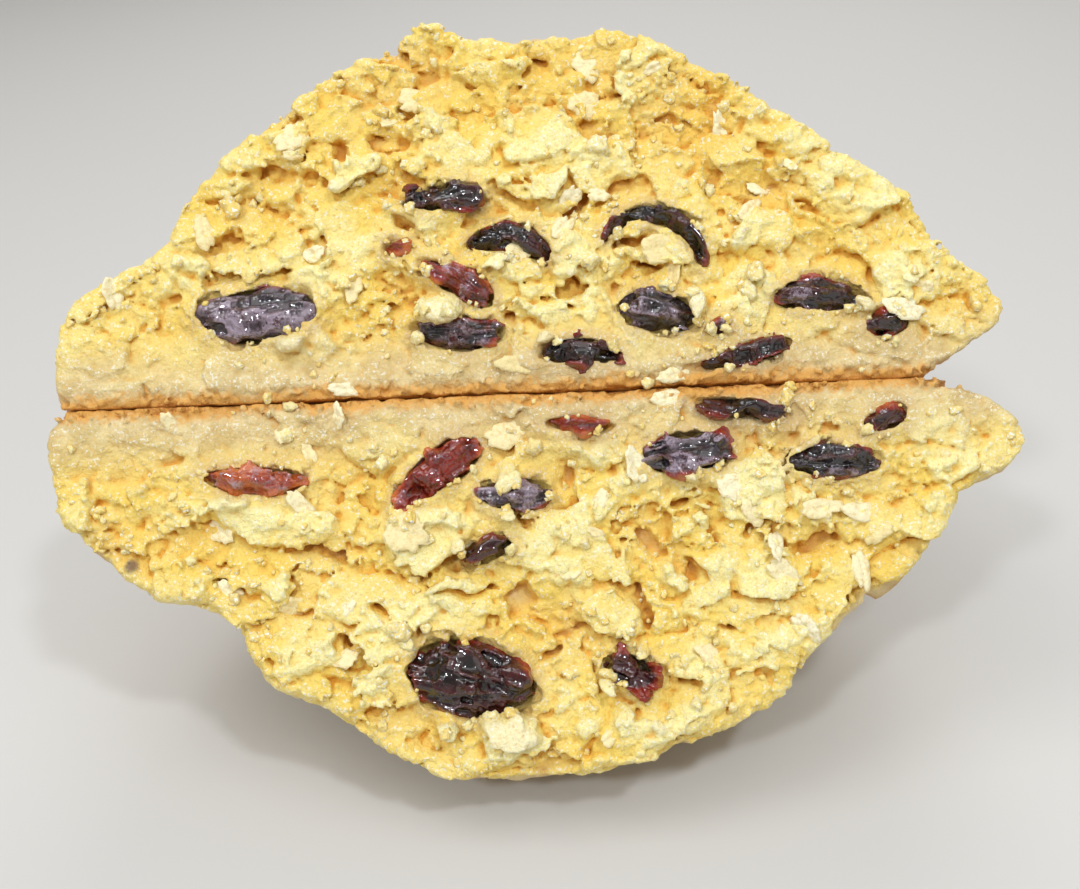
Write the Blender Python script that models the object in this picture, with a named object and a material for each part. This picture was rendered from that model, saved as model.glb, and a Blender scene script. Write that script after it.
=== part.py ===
"""Oatmeal raisin cookie, broken across the middle and folded back until its two bases meet.

The halves stand one on the other with their broken faces flush and their domed tops outward. The
pair leans back and rests on a small flat spot on the dome of the lower half. The origin is at the
bottom, in the middle of the pair; X runs along the seam and the broken faces look towards -Y.

Before the lean each half is described in its own terms, in millimetres:
    across  along the seam, to the right
    deep    from the broken face into the crumb
    rise    from the base of the half to its domed top
"""

import math

import bmesh
import bpy
from mathutils import Matrix, Vector, noise

MM = 0.001

LEAN = math.radians(35)
FLAT_SPOT_DEPTH = 2.4
FLOOR_BLOCK = 80.0
SEAM_GAP = 0.3
POCKET_GAP = 0.3

# Outline of the mound on each side of its middle, as (reach, rise), from the base to the top.
UPPER_RIGHT = [(39.8, 0), (43.6, 2.4), (47.9, 4.6), (48.6, 8.4), (44.3, 11.7), (41.6, 13.6), (40.4, 18.2),
               (36.3, 20.5), (28.5, 27.0), (20.6, 33.0), (12.8, 37.6), (9.2, 38.5), (4.3, 37.5), (0, 36.6)]
UPPER_LEFT = [(48.7, 0), (49.0, 4.0), (48.0, 9.8), (44.6, 12.8), (39.6, 14.4), (37.0, 17.4), (35.0, 21.4),
              (29.0, 27.4), (22.4, 32.3), (16.5, 36.3), (10.8, 39.0), (6.8, 39.0), (3.0, 36.9), (0, 36.6)]
LOWER_RIGHT = [(40.0, 0), (45.5, 1.4), (49.2, 4.6), (49.4, 7.8), (46.0, 10.0), (41.6, 12.4), (40.0, 16.4),
               (36.0, 20.5), (29.7, 23.8), (25.4, 28.0), (22.8, 32.2), (15.4, 35.4), (7.2, 37.1), (0, 38.2)]
LOWER_LEFT = [(48.6, 0), (49.8, 2.6), (49.3, 7.0), (47.8, 12.1), (42.8, 16.9), (38.4, 19.4), (33.8, 19.5),
              (30.2, 22.8), (28.4, 27.4), (21.4, 30.6), (18.0, 33.9), (12.0, 37.4), (7.0, 39.0), (0, 38.2)]

# Away from the break the mound is rounder: this share of a plain dome is mixed in behind.
DOME_REACH = 49.0
DOME_RISE = 38.5
DOME_SHARE = 0.7
DOME_REACH_POWER = 0.8
DOME_RISE_POWER = 0.9

PROFILE_STEPS = 19
TURN_STEPS = 24
FACE_RINGS = 8
BASE_LINE_STEPS = 14
FACE_MIDDLE_RISE = 14.0
BASE_MIDDLE_DEEP = 18.0

# Unevenness: how far it goes and how long its waves are.
CRUST_LUMP = 0.045
CRUST_LUMP_LENGTH = 13.0
CRUST_BUMP = 0.018
CRUST_BUMP_LENGTH = 5.5
SMOOTH_BASE_SHARE = 1 / 6
FACE_RELIEF = 1.6
FACE_RELIEF_LENGTH = 6.5
FACE_RIM_POWER = 5

# Raisins: (across, rise, length, width, turn, bend). Turn is the slope of the raisin's middle and
# bend how far it curls from end to end, both in degrees, positive for an arch.
UPPER_RAISINS = [
    (-28.0, 9.0, 12.0, 6.2, 2, 0),
    (-8.7, 20.5, 8.4, 3.4, 5, 30),
    (-1.5, 16.0, 9.8, 3.4, -12, 85),
    (-13.6, 15.4, 2.6, 1.9, 10, 0),
    (-7.6, 11.9, 8.6, 3.5, -31, 10),
    (-7.6, 6.2, 10.0, 3.8, -5, -40),
    (14.0, 17.7, 14.6, 2.5, -18, 165),
    (13.2, 7.7, 7.6, 4.8, -12, 0),
    (4.9, 4.0, 8.0, 3.2, -5, 35),
    (21.4, 2.9, 11.2, 2.6, 14, 0),
    (29.9, 8.8, 9.4, 4.0, -4, 15),
    (36.0, 5.5, 4.6, 2.8, 3, 0),
    (19.2, 5.9, 2.4, 1.8, 20, 0),
]
LOWER_RAISINS = [
    (-28.6, 8.0, 11.2, 3.3, -3, -20),
    (-10.5, 8.0, 10.6, 4.5, 38, 25),
    (-2.4, 10.4, 7.4, 3.8, 0, -20),
    (4.4, 3.5, 7.2, 2.0, -6, 0),
    (15.0, 6.8, 9.0, 4.8, 4, 15),
    (21.3, 2.6, 10.8, 2.4, -10, 0),
    (30.0, 8.2, 9.4, 3.8, -6, 10),
    (35.3, 4.4, 4.8, 2.8, 14, -30),
    (-5.3, 15.8, 5.4, 2.4, 10, 0),
    (-7.4, 28.6, 11.0, 8.2, -16, 0),
    (8.1, 28.1, 4.8, 3.4, -22, 0),
]
RAISIN_SIDES = 10
RAISIN_RINGS = 6
FURROWS = 4
FURROW_DEPTH = 0.14
LEAST_THICKNESS = 2.0
THICKNESS_PER_WIDTH = 0.5
SUNK_SHARE = 0.28


def make_material(name, colour, roughness):
    """A plain Principled finish."""
    material = bpy.data.materials.new(name)
    material.use_nodes = True
    shader = material.node_tree.nodes["Principled BSDF"]
    shader.inputs["Base Color"].default_value = (*colour, 1.0)
    shader.inputs["Roughness"].default_value = roughness
    shader.inputs["Metallic"].default_value = 0.0
    return material


def add_object(name, mesh_data, material, parent):
    """Puts a bmesh into the scene as a smooth-shaded object, in metres."""
    bmesh.ops.recalc_face_normals(mesh_data, faces=mesh_data.faces)
    bmesh.ops.scale(mesh_data, vec=(MM, MM, MM), verts=mesh_data.verts)
    mesh = bpy.data.meshes.new(name)
    mesh_data.to_mesh(mesh)
    mesh_data.free()
    mesh.shade_smooth()
    if material is not None:
        mesh.materials.append(material)
    made = bpy.data.objects.new(name, mesh)
    made.parent = parent
    bpy.context.scene.collection.objects.link(made)
    return made


def add_cutter(name, mesh_data, parent, target):
    """Adds a hidden cutter and the Boolean that takes it out of the target."""
    cutter = add_object(name, mesh_data, None, parent)
    cutter.hide_render = True
    cutter.display_type = "WIRE"
    cut = target.modifiers.new(name, "BOOLEAN")
    cut.operation = "DIFFERENCE"
    cut.solver = "EXACT"
    cut.object = cutter


def smooth_point(points, share):
    """The point at a share of the way along a smooth curve through all the points."""
    place = share * (len(points) - 1)
    index = min(int(place), len(points) - 2)
    step = place - index
    before = Vector(points[max(index - 1, 0)])
    start = Vector(points[index])
    end = Vector(points[index + 1])
    after = Vector(points[min(index + 2, len(points) - 1)])
    bend = 2 * before - 5 * start + 4 * end - after
    twist = 3 * (start - end) + after - before
    return start + 0.5 * step * ((end - before) + step * (bend + step * twist))


def crust_point(right, left, turn_share, profile_share):
    """A point of the uneven crust, as (across, deep, rise)."""
    angle = math.pi * turn_share
    away_from_break = math.sin(angle)
    outline = smooth_point(right, profile_share).lerp(smooth_point(left, profile_share),
                                                      0.5 - 0.5 * math.cos(angle))
    climb = math.pi / 2 * profile_share
    dome = Vector((DOME_REACH * math.cos(climb) ** DOME_REACH_POWER,
                   DOME_RISE * math.sin(climb) ** DOME_RISE_POWER))
    outline = outline.lerp(dome, DOME_SHARE * away_from_break)
    point = Vector((outline.x * math.cos(angle), outline.x * math.sin(angle), outline.y))
    lumps = CRUST_LUMP * noise.noise(point / CRUST_LUMP_LENGTH)
    bumps = CRUST_BUMP * noise.noise(point / CRUST_BUMP_LENGTH)
    above_base = min(1.0, profile_share / SMOOTH_BASE_SHARE)
    return point * (1 + (lumps + bumps) * away_from_break * above_base)


def face_relief(across, rise, ring_share):
    """How far the torn face lies behind the break, nothing at its rim."""
    wave = noise.noise(Vector((across, rise, FACE_RELIEF_LENGTH)) / FACE_RELIEF_LENGTH)
    return FACE_RELIEF * (0.5 + 0.5 * wave) * (1 - ring_share ** FACE_RIM_POWER)


def half_mesh(right, left, side):
    """One closed half: domed crust, torn face and flat base. Side is 1 for upper, -1 for lower."""
    mesh_data = bmesh.new()

    def vertex(point):
        return mesh_data.verts.new((point[0], point[1], side * (SEAM_GAP / 2 + point[2])))

    rows = [[vertex(crust_point(right, left, turn / TURN_STEPS, step / PROFILE_STEPS))
             for turn in range(TURN_STEPS + 1)] for step in range(PROFILE_STEPS)]
    top = vertex((0, 0, right[-1][1]))
    for lower_row, upper_row in zip(rows, rows[1:]):
        for turn in range(TURN_STEPS):
            mesh_data.faces.new((lower_row[turn], lower_row[turn + 1], upper_row[turn + 1], upper_row[turn]))
    for turn in range(TURN_STEPS):
        mesh_data.faces.new((rows[-1][turn], rows[-1][turn + 1], top))

    edge_right = rows[0][0].co.x
    edge_left = rows[0][-1].co.x
    base_line = []
    for step in range(1, BASE_LINE_STEPS):
        across = edge_left + (edge_right - edge_left) * step / BASE_LINE_STEPS
        base_line.append(vertex((across, 0, 0)))

    rim = [row[0] for row in rows] + [top] + [row[-1] for row in reversed(rows)] + base_line
    middle = Vector((0, 0, side * (SEAM_GAP / 2 + FACE_MIDDLE_RISE)))
    inner = rim
    for ring in range(FACE_RINGS - 1, 0, -1):
        share = ring / FACE_RINGS
        ring_verts = []
        for rim_vert in rim:
            spot = middle.lerp(rim_vert.co, share)
            spot.y = face_relief(spot.x, spot.z, share)
            ring_verts.append(mesh_data.verts.new(spot))
        for index in range(len(rim)):
            after = (index + 1) % len(rim)
            mesh_data.faces.new((inner[index], inner[after], ring_verts[after], ring_verts[index]))
        inner = ring_verts
    centre = mesh_data.verts.new((middle.x, face_relief(middle.x, middle.z, 0), middle.z))
    for index, vert in enumerate(inner):
        mesh_data.faces.new((vert, inner[(index + 1) % len(inner)], centre))

    base_rim = rows[0] + base_line
    base_middle = vertex((0, BASE_MIDDLE_DEEP, 0))
    for index, vert in enumerate(base_rim):
        mesh_data.faces.new((vert, base_rim[(index + 1) % len(base_rim)], base_middle))
    bmesh.ops.triangulate(mesh_data, faces=mesh_data.faces)
    return mesh_data


def add_raisin_shape(mesh_data, raisin, side, swell, furrow_depth):
    """Adds one curled raisin, grown by swell on every side, with lengthwise furrows."""
    across, rise, length, width, turn, bend = raisin
    turn = math.radians(turn)
    bend = math.radians(bend)
    thickness = LEAST_THICKNESS + THICKNESS_PER_WIDTH * width
    sunk = SUNK_SHARE * thickness
    half_length = length / 2 + swell
    half_width = width / 2 + swell
    half_thickness = thickness / 2 + swell

    def along(distance):
        """Place and direction on the raisin's middle line, before it is turned."""
        angle = -bend * distance / length
        if bend == 0:
            return Vector((distance, 0)), angle
        radius = length / bend
        return Vector((-radius * math.sin(angle), radius * (math.cos(angle) - 1))), angle

    def vertex(distance, height, depth):
        spot, angle = along(distance)
        spot += Vector((-math.sin(angle), math.cos(angle))) * height
        spot = Matrix.Rotation(turn, 2) @ spot
        place = (across + spot.x, sunk + depth, side * (SEAM_GAP / 2 + rise) + spot.y)
        return mesh_data.verts.new(place)

    rings = []
    for ring in range(1, RAISIN_RINGS + 1):
        polar = math.pi * ring / (RAISIN_RINGS + 1)
        ring_verts = []
        for corner in range(RAISIN_SIDES):
            angle = 2 * math.pi * corner / RAISIN_SIDES
            furrow = 1 - furrow_depth * (0.5 + 0.5 * math.cos(FURROWS * angle + polar * 2))
            size = math.sin(polar) * furrow
            ring_verts.append(vertex(-half_length * math.cos(polar), half_width * size * math.sin(angle),
                                     half_thickness * size * math.cos(angle)))
        rings.append(ring_verts)
    for first, second in zip(rings, rings[1:]):
        for corner in range(RAISIN_SIDES):
            after = (corner + 1) % RAISIN_SIDES
            mesh_data.faces.new((first[corner], first[after], second[after], second[corner]))
    for end_ring, distance in ((rings[0], -half_length), (rings[-1], half_length)):
        tip = vertex(distance, 0, 0)
        for corner in range(RAISIN_SIDES):
            mesh_data.faces.new((end_ring[corner], end_ring[(corner + 1) % RAISIN_SIDES], tip))


def build_half(name, right, left, raisins, side, frame, crumb, raisin_skin):
    """One half with its pockets, and the raisins that sit in them."""
    half = add_object(f"cookie_{name}_half", half_mesh(right, left, side), crumb, frame)
    pockets = bmesh.new()
    for number, raisin in enumerate(raisins, start=1):
        add_raisin_shape(pockets, raisin, side, POCKET_GAP, 0.0)
        body = bmesh.new()
        add_raisin_shape(body, raisin, side, 0.0, FURROW_DEPTH)
        bmesh.ops.triangulate(body, faces=body.faces)
        add_object(f"raisin_{name}_{number:02d}", body, raisin_skin, frame)
    add_cutter(f"pockets_{name}", pockets, frame, half)
    return half


def rest_on_flat_spot(frame, halves):
    """Leans the pair back, centres it over the origin and sinks the dome by the flat spot's depth."""
    frame.rotation_euler = (-LEAN, 0, 0)
    turned = Matrix.Rotation(-LEAN, 3, "X")
    corners = [turned @ vert.co for half in halves for vert in half.data.vertices]
    middle_x = (min(c.x for c in corners) + max(c.x for c in corners)) / 2
    middle_y = (min(c.y for c in corners) + max(c.y for c in corners)) / 2
    lowest = min(c.z for c in corners)
    frame.location = (-middle_x, -middle_y, -lowest - FLAT_SPOT_DEPTH * MM)


def cut_flat_spot(half):
    """Takes off what of the dome lies below the surface that the pair rests on."""
    block = bmesh.new()
    bmesh.ops.create_cube(block, size=FLOOR_BLOCK)
    bmesh.ops.translate(block, vec=(0, 0, -FLOOR_BLOCK / 2), verts=block.verts)
    add_cutter("flat_spot", block, None, half)


def main():
    for old in list(bpy.data.objects):
        bpy.data.objects.remove(old)
    crumb = make_material("crumb", (0.83, 0.62, 0.24), 0.75)
    raisin_skin = make_material("raisin", (0.045, 0.014, 0.018), 0.3)
    frame = bpy.data.objects.new("cookie", None)
    bpy.context.scene.collection.objects.link(frame)
    upper = build_half("upper", UPPER_RIGHT, UPPER_LEFT, UPPER_RAISINS, 1, frame, crumb, raisin_skin)
    lower = build_half("lower", LOWER_RIGHT, LOWER_LEFT, LOWER_RAISINS, -1, frame, crumb, raisin_skin)
    rest_on_flat_spot(frame, (upper, lower))
    cut_flat_spot(lower)


main()
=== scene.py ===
"""The looks of the broken oatmeal raisin cookie: torn crumb, crust, raisins, oat flakes and loose crumbs.

Shapes are grown in each half's own terms, in millimetres: across (along the seam), deep (from the
broken face into the crumb) and rise (from the base of the half to its domed top).
"""

from collections import namedtuple
from concurrent.futures import ThreadPoolExecutor
from itertools import product
import math

import bmesh
import bpy
import numpy as np
import openvdb
from mathutils import Matrix, Vector


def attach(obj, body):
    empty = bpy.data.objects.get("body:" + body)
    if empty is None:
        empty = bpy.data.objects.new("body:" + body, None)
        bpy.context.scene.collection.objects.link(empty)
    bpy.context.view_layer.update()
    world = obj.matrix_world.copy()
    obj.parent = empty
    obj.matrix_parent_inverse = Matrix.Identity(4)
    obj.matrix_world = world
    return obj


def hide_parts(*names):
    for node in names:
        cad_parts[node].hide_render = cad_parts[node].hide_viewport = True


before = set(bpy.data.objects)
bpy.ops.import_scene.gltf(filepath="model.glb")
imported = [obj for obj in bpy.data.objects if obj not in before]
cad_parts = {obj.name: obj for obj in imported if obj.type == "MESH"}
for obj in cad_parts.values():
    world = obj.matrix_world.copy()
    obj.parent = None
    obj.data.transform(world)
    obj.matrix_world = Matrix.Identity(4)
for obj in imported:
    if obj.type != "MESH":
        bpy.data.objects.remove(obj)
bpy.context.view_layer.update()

MM = 0.001
LEAN = math.radians(35)
ACROSS = np.array((1.0, 0.0, 0.0))
DEEP = np.array((0.0, math.cos(LEAN), -math.sin(LEAN)))
RISE = np.array((0.0, math.sin(LEAN), math.cos(LEAN)))

# The grid that a half is grown on, its margin round the solid, and how far the solid's edges are eased.
VOXEL = 0.25
COARSE = 2 * VOXEL
MARGIN = 2.5
ROUNDING = 0.8
# How far relief can reach from the plain surface, in the broken face and on the crust behind it.
FACE_BAND = 2.6
CRUST_BAND = 1.7
# How deep the torn crumb starts to give way to crust, and where it has ended.
FACE_FADES = 2.4
FACE_ENDS = 4.6
# Where the width of the half is read, and how much the crumb's cells lean downwards.
RIM_DEPTH = 3.5
OVERHANG = 0.4
# The gap between the two bases, which is widest round the middle of the seam.
BASE_GAP = 0.04
SPLIT_MIDDLE = 2.0
SPLIT_REACH = 22.0
# A raisin's dark tip that just shows in the crust of the lower half.
RAISIN_TIP = (-41.2, 0.0, 16.0)
# The most triangles in a half, and about how many of them its crust gets.
MOST_TRIANGLES = 192000
CRUST_TRIANGLES = 45000
# How many points one core works on at a time.
CHUNK = 30000
CORES = 4

# Raisins as they lie in the broken faces, and spots: hollows, raised plates, or crumb over a raisin.
Raisin = namedtuple("Raisin", "across rise length width turn bend taper")
Spot = namedtuple("Spot", "across rise length width turn height")

UPPER_RAISINS = [Raisin(*row) for row in (
    (-28.0, 9.0, 12.0, 6.2, 2, 0, 0.05),
    (-8.7, 20.5, 8.4, 3.4, 5, 30, 0.15),
    (-1.5, 16.0, 9.8, 3.4, -12, 85, 0.0),
    (-13.6, 15.4, 2.6, 1.9, 10, 0, 0.3),
    (-7.6, 11.9, 8.6, 3.5, -31, 10, 0.45),
    (-7.6, 6.2, 10.0, 3.8, -5, -40, 0.1),
    (14.0, 17.7, 14.6, 2.5, -18, 165, 0.0),
    (13.2, 7.7, 7.6, 4.8, -12, 0, -0.1),
    (4.9, 4.0, 8.0, 3.2, -5, 35, 0.1),
    (21.4, 2.9, 11.2, 2.6, 14, 0, 0.2),
    (29.9, 8.8, 9.4, 4.0, -4, 15, -0.1),
    (36.0, 5.5, 4.6, 2.8, 3, 0, 0.2),
    (19.2, 5.9, 2.4, 1.8, 20, 0, 0.0),
)]
LOWER_RAISINS = [Raisin(*row) for row in (
    (-28.6, 8.0, 11.2, 3.3, -3, -20, 0.1),
    (-10.5, 8.0, 10.6, 4.5, 38, 25, 0.3),
    (-2.4, 10.4, 7.4, 3.8, 0, -20, 0.1),
    (4.4, 3.5, 7.2, 2.0, -6, 0, 0.0),
    (15.0, 6.8, 9.0, 4.8, 4, 15, 0.15),
    (21.3, 2.6, 10.8, 2.4, -10, 0, -0.15),
    (30.0, 8.2, 9.4, 3.8, -6, 10, -0.1),
    (35.3, 4.4, 4.8, 2.8, 14, -30, 0.1),
    (-5.3, 15.8, 5.4, 2.4, 10, 0, 0.2),
    (-7.4, 28.6, 11.0, 8.2, -16, 0, 0.05),
    (8.1, 28.1, 4.8, 3.4, -22, 0, 0.3),
)]
LOWER_RAISINS = [raisin._replace(turn=-raisin.turn, bend=-raisin.bend) for raisin in LOWER_RAISINS]
LEAST_THICKNESS = 2.0
THICKNESS_PER_WIDTH = 0.5
SUNK_SHARE = 0.28

# How each raisin looks: (amber, bloom, crumple), in the same order.
UPPER_LOOKS = [
    (0.3, 0.85, 0.5), (0.05, 0.35, 0.9), (0.25, 0.1, 0.8), (0.8, 0.2, 0.6), (0.7, 0.5, 0.9),
    (0.4, 0.55, 0.8), (0.05, 0.15, 1.0), (0.05, 0.75, 0.8), (0.1, 0.15, 1.1), (0.25, 0.05, 0.9),
    (0.35, 0.5, 0.6), (0.35, 0.35, 0.7), (0.5, 0.4, 0.4),
]
LOWER_LOOKS = [
    (1.0, 0.55, 0.8), (0.7, 0.3, 0.9), (0.3, 0.8, 0.8), (0.6, 0.15, 0.8), (0.35, 0.7, 1.2),
    (0.1, 0.15, 0.9), (0.1, 0.55, 0.8), (0.4, 0.2, 0.8), (0.1, 0.0, 0.9), (0.4, 0.3, 0.9),
    (0.2, 0.2, 1.6),
]

# The height of a hollow is its depth.
UPPER_HOLLOWS = [Spot(*row) for row in (
    (-9.6, 33.2, 4.6, 2.2, 13, 1.5), (-11.9, 29.6, 3.0, 2.2, 13, 1.7), (1.2, 33.2, 3.6, 2.4, 30, 1.4),
    (14.8, 27.4, 4.2, 1.8, 3, 1.8), (-18.9, 25.7, 1.5, 2.6, 10, 1.8), (5.2, 19.0, 3.8, 1.6, 40, 1.9),
    (-31.0, 16.4, 5.6, 2.6, 27, 1.1), (-26.4, 23.4, 11.0, 1.7, -5, 1.3), (10.6, 14.9, 4.8, 1.4, 14, 2.3),
    (12.3, 11.9, 2.9, 0.8, 6, 1.6), (-4.4, 18.4, 5.2, 3.0, 24, 1.3), (25.4, 24.0, 4.4, 2.0, -20, 1.3),
    (29.0, 18.0, 3.0, 1.4, -30, 1.4), (-37.0, 10.5, 3.4, 1.4, 10, 1.2), (-12.6, 17.6, 2.6, 1.0, -30, 1.5),
    (4.2, 8.6, 1.6, 0.8, -35, 1.4),
)]
LOWER_HOLLOWS = [Spot(*row) for row in (
    (-6.7, 16.9, 9.0, 2.9, -18, 2.0), (10.9, 16.5, 4.4, 1.7, 36, 1.8), (14.7, 18.8, 5.4, 2.8, 24, 2.0),
    (10.2, 23.0, 5.8, 1.4, 83, 1.9), (14.4, 12.2, 3.4, 1.7, -24, 1.6), (-2.3, 22.0, 2.5, 4.6, 8, 1.6),
    (-32.0, 18.6, 3.0, 1.9, 20, 1.7), (-30.4, 19.8, 5.2, 1.4, 12, 1.3), (1.2, 26.9, 2.0, 1.0, 5, 1.7),
    (4.2, 24.8, 2.0, 0.9, -20, 1.6), (14.8, 30.0, 2.0, 1.1, 3, 1.7), (9.2, 32.5, 1.3, 0.9, 0, 1.6),
    (-15.6, 21.7, 2.4, 1.2, 14, 1.6), (-20.2, 24.6, 2.2, 1.6, 33, 1.6), (-12.2, 18.8, 2.6, 1.2, 12, 1.5),
    (-7.4, 20.2, 8.0, 0.9, 4, 1.4), (27.8, 17.2, 6.3, 1.6, -16, 1.5), (-22.0, 15.9, 7.0, 1.3, 16, 1.5),
    (-2.0, 13.1, 3.0, 0.9, 40, 1.5), (22.0, 14.9, 4.2, 1.1, -30, 1.4), (18.6, 25.0, 2.4, 0.9, 10, 1.4),
)]
UPPER_PLATES = [Spot(*row) for row in (
    (13.2, 13.9, 6.4, 3.6, -4, 1.0), (-18.6, 17.5, 9.0, 5.0, -8, 0.6), (-6.0, 26.0, 8.0, 5.0, 12, 0.5),
    (25.0, 15.5, 7.0, 4.0, -20, 0.5), (-0.6, 12.6, 4.4, 2.4, 10, 0.8), (-11.6, 18.2, 5.0, 2.2, -20, 0.9),
)]
LOWER_PLATES = [Spot(*row) for row in (
    (-11.3, 14.6, 8.3, 7.4, -10, 1.2), (3.4, 16.6, 11.6, 6.6, 20, 0.9), (-26.6, 12.2, 13.0, 5.6, 16, 1.0),
    (-8.6, 22.6, 8.4, 3.6, -6, 0.7), (6.6, 22.8, 5.4, 4.4, 30, 0.7), (21.6, 12.0, 6.4, 5.0, 20, 0.8),
    (-17.0, 21.0, 9.0, 5.0, 14, 0.7), (-3.0, 34.4, 7.0, 3.4, 6, 1.0), (17.6, 22.6, 8.0, 3.6, 8, 0.6),
)]
UPPER_COVERS = [Spot(*row) for row in (
    (-9.2, 8.7, 4.6, 3.0, -8, 1.7), (17.0, 8.6, 1.9, 4.0, 0, 1.7), (-3.6, 13.6, 3.0, 1.8, 10, 1.3),
    (-24.4, 6.2, 3.0, 1.5, 8, 1.5), (1.6, 5.6, 2.2, 1.4, 10, 1.5), (33.6, 7.6, 1.8, 1.6, 0, 1.4),
)]
LOWER_COVERS = [Spot(*row) for row in (
    (-3.0, 8.7, 3.0, 3.2, 0, 1.4), (-3.0, 12.2, 1.5, 1.3, 0, 1.5), (-3.8, 33.2, 6.0, 3.2, 8, 1.9),
    (-10.0, 33.8, 2.4, 1.8, 0, 1.7), (6.4, 29.6, 2.0, 1.4, 20, 1.4), (9.6, 26.6, 1.8, 1.2, 0, 1.4),
    (-8.2, 15.2, 2.2, 1.4, 10, 1.2), (15.4, 9.2, 2.0, 1.2, 10, 1.5), (-31.0, 9.7, 4.0, 1.2, -5, 1.3),
)]


# ---------------------------------------------------------------- noise

LATTICE = 64
CORNERS = list(product((0, 1), repeat=3))
NEIGHBOURS = list(product((-1, 0, 1), repeat=3))
lattices = {}


def lattice(seed, columns=1):
    """A repeating block of random numbers that noise is read from."""
    if (seed, columns) not in lattices:
        drawn = np.random.default_rng(seed).random((LATTICE ** 3, columns), dtype=np.float32)
        lattices[seed, columns] = drawn
    return lattices[seed, columns]


def in_parallel(function, points, *rest):
    """Runs a function of points in chunks on all cores, and joins what it gives."""
    chunks = [points[start:start + CHUNK] for start in range(0, len(points), CHUNK)]
    with ThreadPoolExecutor(CORES) as pool:
        results = list(pool.map(lambda chunk: function(chunk, *rest), chunks))
    return np.concatenate(results)


def smooth_step(low, high, value):
    share = np.clip((value - low) / (high - low), 0, 1)
    return share * share * (3 - 2 * share)


def cloud(points, length, seed):
    """Smooth noise from -1 to 1 whose waves are about length long, which may differ by axis."""
    block = lattice(seed)[:, 0]
    place = points / np.asarray(length, np.float32)
    cell = np.floor(place).astype(np.int32)
    share = place - cell
    share = share * share * (3 - 2 * share)
    total = np.zeros(len(points), np.float32)
    near = [[(cell[:, axis] + step) % LATTICE for step in (0, 1)] for axis in range(3)]
    weight = [[1 - share[:, axis], share[:, axis]] for axis in range(3)]
    for i, j, k in CORNERS:
        index = (near[0][i] * LATTICE + near[1][j]) * LATTICE + near[2][k]
        total += block[index] * weight[0][i] * weight[1][j] * weight[2][k]
    return 2 * total - 1


def layered_cloud(points, length, seed, layers):
    """Noise of several sizes, each half as long and half as strong as the one before."""
    total = np.zeros(len(points), np.float32)
    for layer in range(layers):
        scale = 0.5 ** layer
        total += scale * cloud(points, length * scale, seed + layer)
    return total


def warped(points, amount, length, seed):
    """The points pushed about by noise, which makes edges ragged."""
    pushed = points.copy()
    for axis in range(3):
        pushed[:, axis] += amount * cloud(points, length, seed + 10 * axis)
    return pushed


def scattered_points(points, size, seed):
    """The random point of each cell near each place: its draw, the gap to it in cells, the gap squared."""
    block = lattice(seed, 4)
    place = points / np.asarray(size, np.float32)
    home = np.floor(place).astype(np.int32)
    inside = (place - home).astype(np.float32)
    for i, j, k in NEIGHBOURS:
        index = ((home[:, 0] + i) % LATTICE * LATTICE + (home[:, 1] + j) % LATTICE) * LATTICE
        index += (home[:, 2] + k) % LATTICE
        drawn = block[index]
        gap_x = drawn[:, 0] + i - inside[:, 0]
        gap_y = drawn[:, 1] + j - inside[:, 1]
        gap_z = drawn[:, 2] + k - inside[:, 2]
        yield drawn, gap_x, gap_z, gap_x * gap_x + gap_y * gap_y + gap_z * gap_z


def lumps(points, size, seed, tilt, reach=0.34):
    """Height, about 0 to 1, of tilted lumps with flat tops that overlap, and low ground between."""
    best = np.full(len(points), -1.0, np.float32)
    for drawn, gap_x, gap_z, square in scattered_points(points, size, seed):
        top = drawn[:, 3] - 9.0 * np.maximum(square - reach, 0)
        top += tilt * (drawn[:, 1] - 0.5) * gap_x + tilt * (drawn[:, 0] - 0.5) * gap_z
        best = np.maximum(best, top)
    return np.maximum(best, -0.6)


def cells(points, size, seed):
    """For the cell that each point is in: a random level, a random slope, and how near its edge is."""
    first = np.full(len(points), 9.0, np.float32)
    second = first.copy()
    level = np.zeros(len(points), np.float32)
    slope = level.copy()
    for drawn, gap_x, gap_z, square in scattered_points(points, size, seed):
        closer = square < first
        second = np.minimum(second, np.where(closer, first, square))
        first = np.where(closer, square, first)
        level = np.where(closer, drawn[:, 3], level)
        tilted = (drawn[:, 0] - 0.5) * gap_x + (drawn[:, 1] - 0.5) * gap_z
        slope = np.where(closer, tilted, slope)
    return level, slope, np.sqrt(second) - np.sqrt(first)


# ---------------------------------------------------------------- volumes

def blur(volume, sigma):
    """Gaussian blur of a volume, sigma in voxels."""
    reach = max(1, int(round(2.5 * sigma)))
    weights = np.exp(-0.5 * (np.arange(-reach, reach + 1) / sigma) ** 2)
    weights /= weights.sum()
    for axis in range(3):
        total = np.zeros_like(volume)
        for offset, weight in zip(range(-reach, reach + 1), weights):
            total += np.float32(weight) * np.roll(volume, offset, axis)
        volume = total
    return volume


def doubled(volume):
    """The same volume on a grid with twice as many points each way, less one."""
    for axis in range(3):
        rows = np.moveaxis(volume, axis, 0)
        finer = np.empty((2 * len(rows) - 1,) + rows.shape[1:], np.float32)
        finer[::2] = rows
        finer[1::2] = (rows[:-1] + rows[1:]) / 2
        volume = np.moveaxis(finer, 0, axis)
    return np.ascontiguousarray(volume)


def sample(volume, places):
    """Trilinear reading of a volume at places in voxel units."""
    top = np.array(volume.shape) - 2
    places = np.clip(places, 0, top + 0.999)
    cell = np.minimum(np.floor(places).astype(np.int32), top)
    share = (places - cell).astype(np.float32)
    total = np.zeros(len(places), np.float32)
    for i, j, k in CORNERS:
        weight = np.abs(1 - i - share[:, 0]) * np.abs(1 - j - share[:, 1])
        weight *= np.abs(1 - k - share[:, 2])
        total += weight * volume[cell[:, 0] + i, cell[:, 1] + j, cell[:, 2] + k]
    return total


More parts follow.
